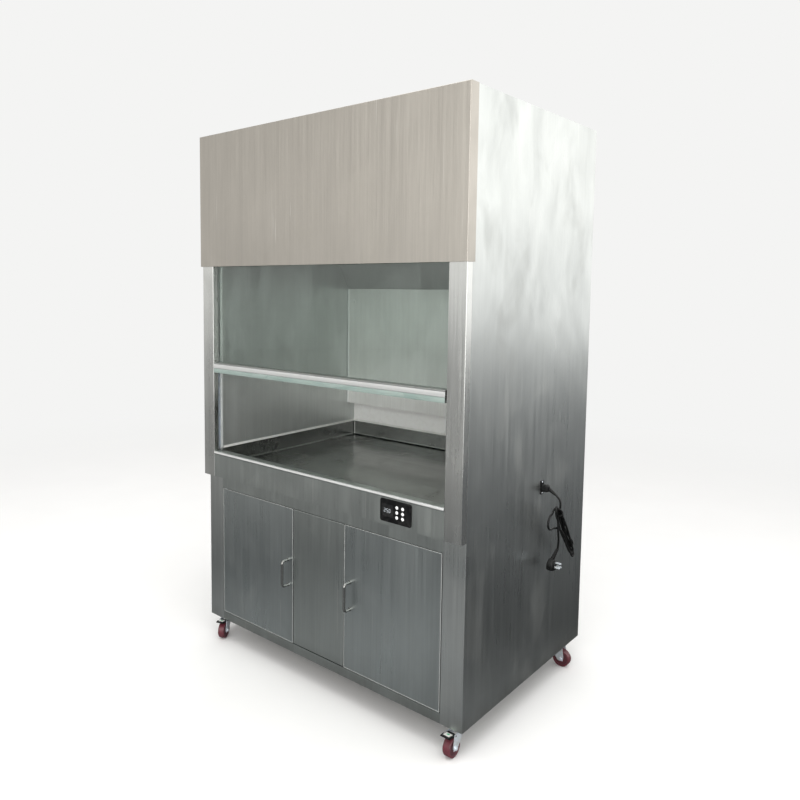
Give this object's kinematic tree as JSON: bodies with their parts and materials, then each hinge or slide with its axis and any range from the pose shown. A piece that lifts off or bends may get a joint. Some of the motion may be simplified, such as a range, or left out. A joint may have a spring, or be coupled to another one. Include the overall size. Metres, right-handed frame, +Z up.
{
  "type": "fume hood",
  "caption": "Ducted bench fume hood in brushed stainless steel: counterbalanced glass sash, dished worktop, two-door base cupboard, control panel, swivel casters.",
  "frame": {"origin": "on the floor under the middle of the hood, without its mains lead", "axes": "+X to the right seen from the front, +Y to the back, +Z up"},
  "size_m": [1.2859, 0.886, 2.065],
  "materials": {
    "stainless_brushed": "vertical hairline brushed, satin",
    "stainless_inner": "hairline brushed, satin",
    "stainless_polished": "polished",
    "tempered_glass": "clear, faint green",
    "black_plastic": "fine matt grain",
    "display_black": "gloss window",
    "white_key": "satin",
    "lamp_opal": "opal diffuser",
    "zinc_plated": "zinc plated",
    "caster_red": "red polyurethane",
    "cast_weight": "black painted bar",
    "cord_black": "black flexible jacket"
  },
  "bodies": {
    "cabinet": {"side_panel_right": "stainless_brushed", "side_panel_left": "stainless_brushed", "back_panel": "stainless_brushed", "roof_panel": "stainless_brushed", "duct_collar": "stainless_brushed", "cabinet_base": "stainless_brushed", "face_rails": "stainless_brushed", "centre_panel": "stainless_brushed", "door_pivots": "zinc_plated", "door_catches": "zinc_plated", "jamb_right": "stainless_brushed", "jamb_left": "stainless_brushed", "fascia": "stainless_brushed", "front_apron": "stainless_brushed", "control_bezel": "black_plastic", "display_window": "display_black", "guide_tracks": "zinc_plated", "sash_cables": "zinc_plated", "worktop": "stainless_inner", "liner_right": "stainless_inner", "liner_left": "stainless_inner", "liner_back": "stainless_inner", "liner_ceiling": "stainless_inner", "lamp_housing": "zinc_plated", "lamp_diffuser": "lamp_opal", "baffle_rear": "stainless_inner", "baffle_upper": "stainless_inner", "caster_plates": "zinc_plated", "power_inlet": "black_plastic", "cord_connector": "cord_black", "power_cord": "cord_black", "cord_hank": "cord_black", "cord_tail": "cord_black", "power_plug": "cord_black", "fasteners": "zinc_plated"},
    "sash": {"sash_glass": "tempered_glass", "sash_frame": "stainless_brushed", "sash_handle": "stainless_brushed"},
    "counterweight_pair": {"counterweights": "cast_weight"},
    "pulley_shaft": {"sync_shaft": "zinc_plated"},
    "right_door": {"door_right": "stainless_brushed", "handle_right": "stainless_polished"},
    "left_door": {"door_left": "stainless_brushed", "handle_left": "stainless_polished"},
    "button_1_1_body": {"button_1_1": "white_key"},
    "button_1_2_body": {"button_1_2": "white_key"},
    "button_2_1_body": {"button_2_1": "white_key"},
    "button_2_2_body": {"button_2_2": "white_key"},
    "button_3_1_body": {"button_3_1": "white_key"},
    "button_3_2_body": {"button_3_2": "white_key"},
    "swivel_front_right": {"fork_front_right": "zinc_plated"},
    "swivel_front_left": {"fork_front_left": "zinc_plated"},
    "swivel_rear_right": {"fork_rear_right": "zinc_plated"},
    "swivel_rear_left": {"fork_rear_left": "zinc_plated"},
    "roller_front_right": {"wheel_front_right": "caster_red"},
    "roller_front_left": {"wheel_front_left": "caster_red"},
    "roller_rear_right": {"wheel_rear_right": "caster_red"},
    "roller_rear_left": {"wheel_rear_left": "caster_red"},
    "brake_front_right": {"pedal_front_right": "black_plastic"},
    "brake_front_left": {"pedal_front_left": "black_plastic"}
  },
  "joints": [
    {"name": "sash_slide", "type": "slide", "parent": "cabinet", "child": "sash", "axis": [0, 0, 1], "range_m": [-0.315, 0.12]},
    {"name": "counterweight_slide", "type": "slide", "parent": "cabinet", "child": "counterweight_pair", "axis": [0, 0, 1], "range_m": [-0.121, 0.316], "deforming": ["sash_cables"]},
    {"name": "shaft_spin", "type": "hinge", "parent": "cabinet", "child": "pulley_shaft", "pos_m": [0, -0.372, 1.92], "axis": [1, 0, 0], "range_deg": [-200, 520]},
    {"name": "door_right_hinge", "type": "hinge", "parent": "cabinet", "child": "right_door", "pos_m": [0.507, -0.4, 0.379], "axis": [0, 0, 1], "range_deg": [0, 110]},
    {"name": "door_left_hinge", "type": "hinge", "parent": "cabinet", "child": "left_door", "pos_m": [-0.507, -0.4, 0.379], "axis": [0, 0, -1], "range_deg": [0, 110]},
    {"name": "button_1_1_press", "type": "slide", "parent": "cabinet", "child": "button_1_1_body", "axis": [0, 1, 0], "range_m": [0, 0.0012], "stiffness_N_per_m": 300},
    {"name": "button_1_2_press", "type": "slide", "parent": "cabinet", "child": "button_1_2_body", "axis": [0, 1, 0], "range_m": [0, 0.0012], "stiffness_N_per_m": 300},
    {"name": "button_2_1_press", "type": "slide", "parent": "cabinet", "child": "button_2_1_body", "axis": [0, 1, 0], "range_m": [0, 0.0012], "stiffness_N_per_m": 300},
    {"name": "button_2_2_press", "type": "slide", "parent": "cabinet", "child": "button_2_2_body", "axis": [0, 1, 0], "range_m": [0, 0.0012], "stiffness_N_per_m": 300},
    {"name": "button_3_1_press", "type": "slide", "parent": "cabinet", "child": "button_3_1_body", "axis": [0, 1, 0], "range_m": [0, 0.0012], "stiffness_N_per_m": 300},
    {"name": "button_3_2_press", "type": "slide", "parent": "cabinet", "child": "button_3_2_body", "axis": [0, 1, 0], "range_m": [0, 0.0012], "stiffness_N_per_m": 300},
    {"name": "swivel_front_right_turn", "type": "hinge", "parent": "cabinet", "child": "swivel_front_right", "pos_m": [0.56, -0.371, 0.075], "axis": [0, 0, 1], "continuous": true},
    {"name": "swivel_front_left_turn", "type": "hinge", "parent": "cabinet", "child": "swivel_front_left", "pos_m": [-0.552, -0.365, 0.075], "axis": [0, 0, 1], "continuous": true},
    {"name": "swivel_rear_right_turn", "type": "hinge", "parent": "cabinet", "child": "swivel_rear_right", "pos_m": [0.55, 0.345, 0.075], "axis": [0, 0, 1], "continuous": true},
    {"name": "swivel_rear_left_turn", "type": "hinge", "parent": "cabinet", "child": "swivel_rear_left", "pos_m": [-0.552, 0.345, 0.075], "axis": [0, 0, 1], "continuous": true},
    {"name": "roller_front_right_spin", "type": "hinge", "parent": "swivel_front_right", "child": "roller_front_right", "pos_m": [0.56, -0.401, 0.032], "axis": [1, 0, 0], "continuous": true},
    {"name": "roller_front_left_spin", "type": "hinge", "parent": "swivel_front_left", "child": "roller_front_left", "pos_m": [-0.53885, -0.39196, 0.032], "axis": [0.8988, 0.4384, 0], "continuous": true},
    {"name": "roller_rear_right_spin", "type": "hinge", "parent": "swivel_rear_right", "child": "roller_rear_right", "pos_m": [0.58, 0.345, 0.032], "axis": [0, 1, 0], "continuous": true},
    {"name": "roller_rear_left_spin", "type": "hinge", "parent": "swivel_rear_left", "child": "roller_rear_left", "pos_m": [-0.57798, 0.33, 0.032], "axis": [0.5, -0.866, 0], "continuous": true},
    {"name": "brake_front_right_press", "type": "hinge", "parent": "swivel_front_right", "child": "brake_front_right", "pos_m": [0.56, -0.402, 0.071], "axis": [1, 0, 0], "range_deg": [0, 12]},
    {"name": "brake_front_left_press", "type": "hinge", "parent": "swivel_front_left", "child": "brake_front_left", "pos_m": [-0.53841, -0.39286, 0.071], "axis": [0.8988, 0.4384, 0], "range_deg": [0, 12]}
  ],
  "couplings": [
    {"joint": "counterweight_slide", "follows": "sash_slide", "ratio": -1},
    {"joint": "shaft_spin", "follows": "sash_slide", "rad_per_m": -28.571}
  ]
}
